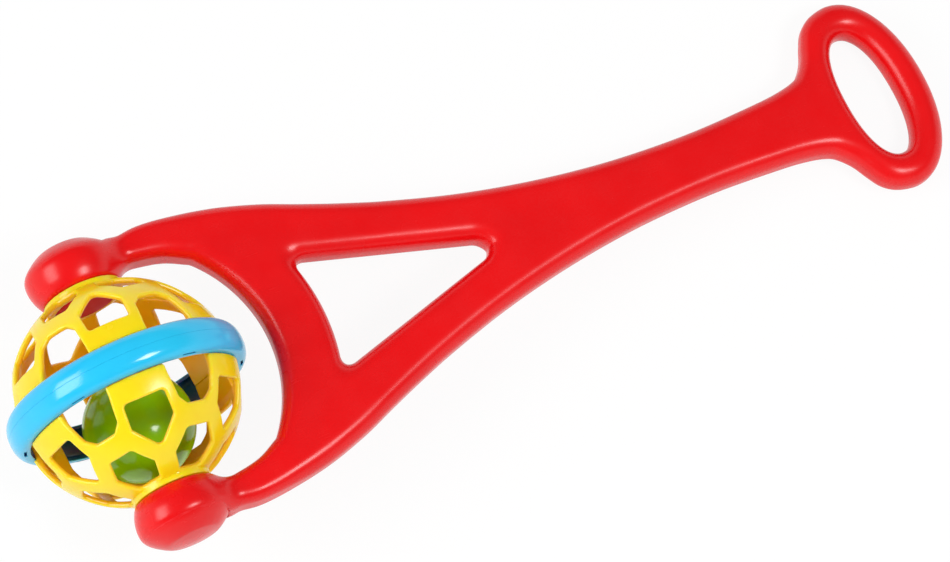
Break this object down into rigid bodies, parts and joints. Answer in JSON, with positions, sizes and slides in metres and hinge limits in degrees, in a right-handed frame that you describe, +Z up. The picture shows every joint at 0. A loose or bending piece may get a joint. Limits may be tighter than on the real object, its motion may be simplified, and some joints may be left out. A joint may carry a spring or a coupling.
{
  "type": "push-along rattle toy",
  "caption": "Push-along toddler toy: a flat handle with an oval grip and a yoke, in which a ringed openwork ball rolls with a loose rattle ball caged inside.",
  "frame": {"origin": "On the floor, under the middle of the whole toy's box as it lies at rest", "axes": "+X from the ball to the grip along the floor, +Y along the axle to the toy's left side, +Z up"},
  "size_m": [0.5016, 0.1598, 0.121],
  "materials": {
    "handle_red": "glossy blow-moulded polyethylene",
    "cage_yellow": "glossy injection-moulded polypropylene",
    "ring_blue": "glossy injection-moulded ABS",
    "rattle_green": "glossy injection-moulded ABS",
    "bead_cream": "tumbled plastic beads, hidden"
  },
  "bodies": {
    "handle": {"handle": "handle_red", "boss_cap_left": "handle_red", "boss_cap_right": "handle_red", "axle_plug_left": "handle_red", "axle_plug_right": "handle_red"},
    "ball": {"cage_half_left": "cage_yellow", "cage_half_right": "cage_yellow", "ring_half_left": "ring_blue", "ring_half_right": "ring_blue"},
    "rattle": {"rattle_half_upper": "rattle_green", "rattle_half_lower": "rattle_green"},
    "beads": {"rattle_bead_1": "bead_cream", "rattle_bead_2": "bead_cream", "rattle_bead_3": "bead_cream", "rattle_bead_4": "bead_cream", "rattle_bead_5": "bead_cream", "rattle_bead_6": "bead_cream"}
  },
  "joints": [
    {"name": "ball_roll", "type": "hinge", "parent": "handle", "child": "ball", "pos_m": [-0.19035, 0, 0.0605], "axis": [0, 1, 0], "continuous": true},
    {"name": "rattle_tumble", "type": "hinge", "parent": "handle", "child": "rattle", "pos_m": [-0.19035, 0, 0.0605], "axis": [0, 1, 0], "continuous": true},
    {"name": "bead_tumble", "type": "hinge", "parent": "rattle", "child": "beads", "pos_m": [-0.19035, -0.012, 0.03948], "axis": [0, 1, 0], "continuous": true}
  ]
}
